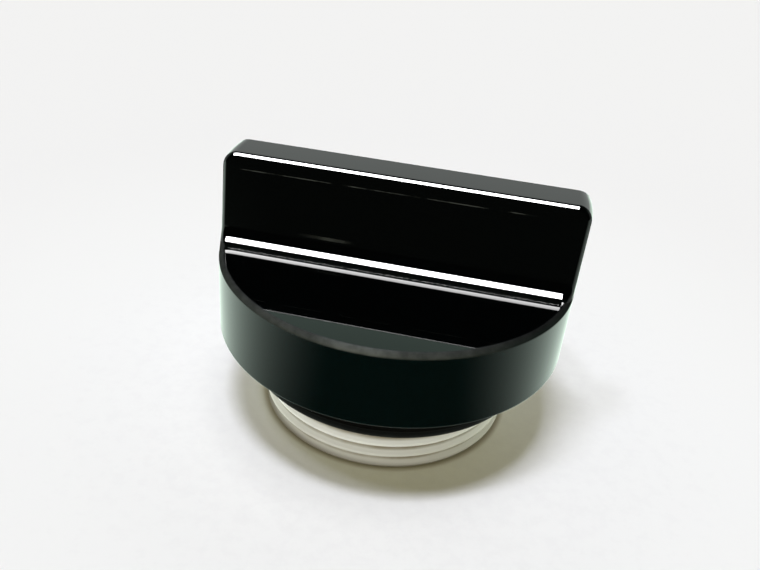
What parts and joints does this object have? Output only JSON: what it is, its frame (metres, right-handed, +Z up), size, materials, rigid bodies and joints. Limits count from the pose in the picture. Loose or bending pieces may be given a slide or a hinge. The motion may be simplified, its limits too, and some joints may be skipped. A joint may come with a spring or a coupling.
{
  "type": "screw-in oil filler cap",
  "caption": "Round screw-in oil filler cap: gloss black head with a straight grip fin, rubber sealing ring, and a bare metal threaded plug, hollow from below.",
  "frame": {"origin": "centre of the plug's open bottom end, on the plane that the cap stands on", "axes": "+Z up along the thread's axis to the grip fin's top, X along the grip fin"},
  "size_m": [0.055, 0.055, 0.04],
  "materials": {
    "head": "high gloss black coating",
    "threaded_plug": "bare, turned",
    "sealing_ring": "matte black",
    "plug_screws": "plain steel"
  },
  "bodies": {
    "root": {"head": "head", "threaded_plug": "threaded_plug", "sealing_ring": "sealing_ring", "plug_screws": "plug_screws"}
  },
  "joints": []
}
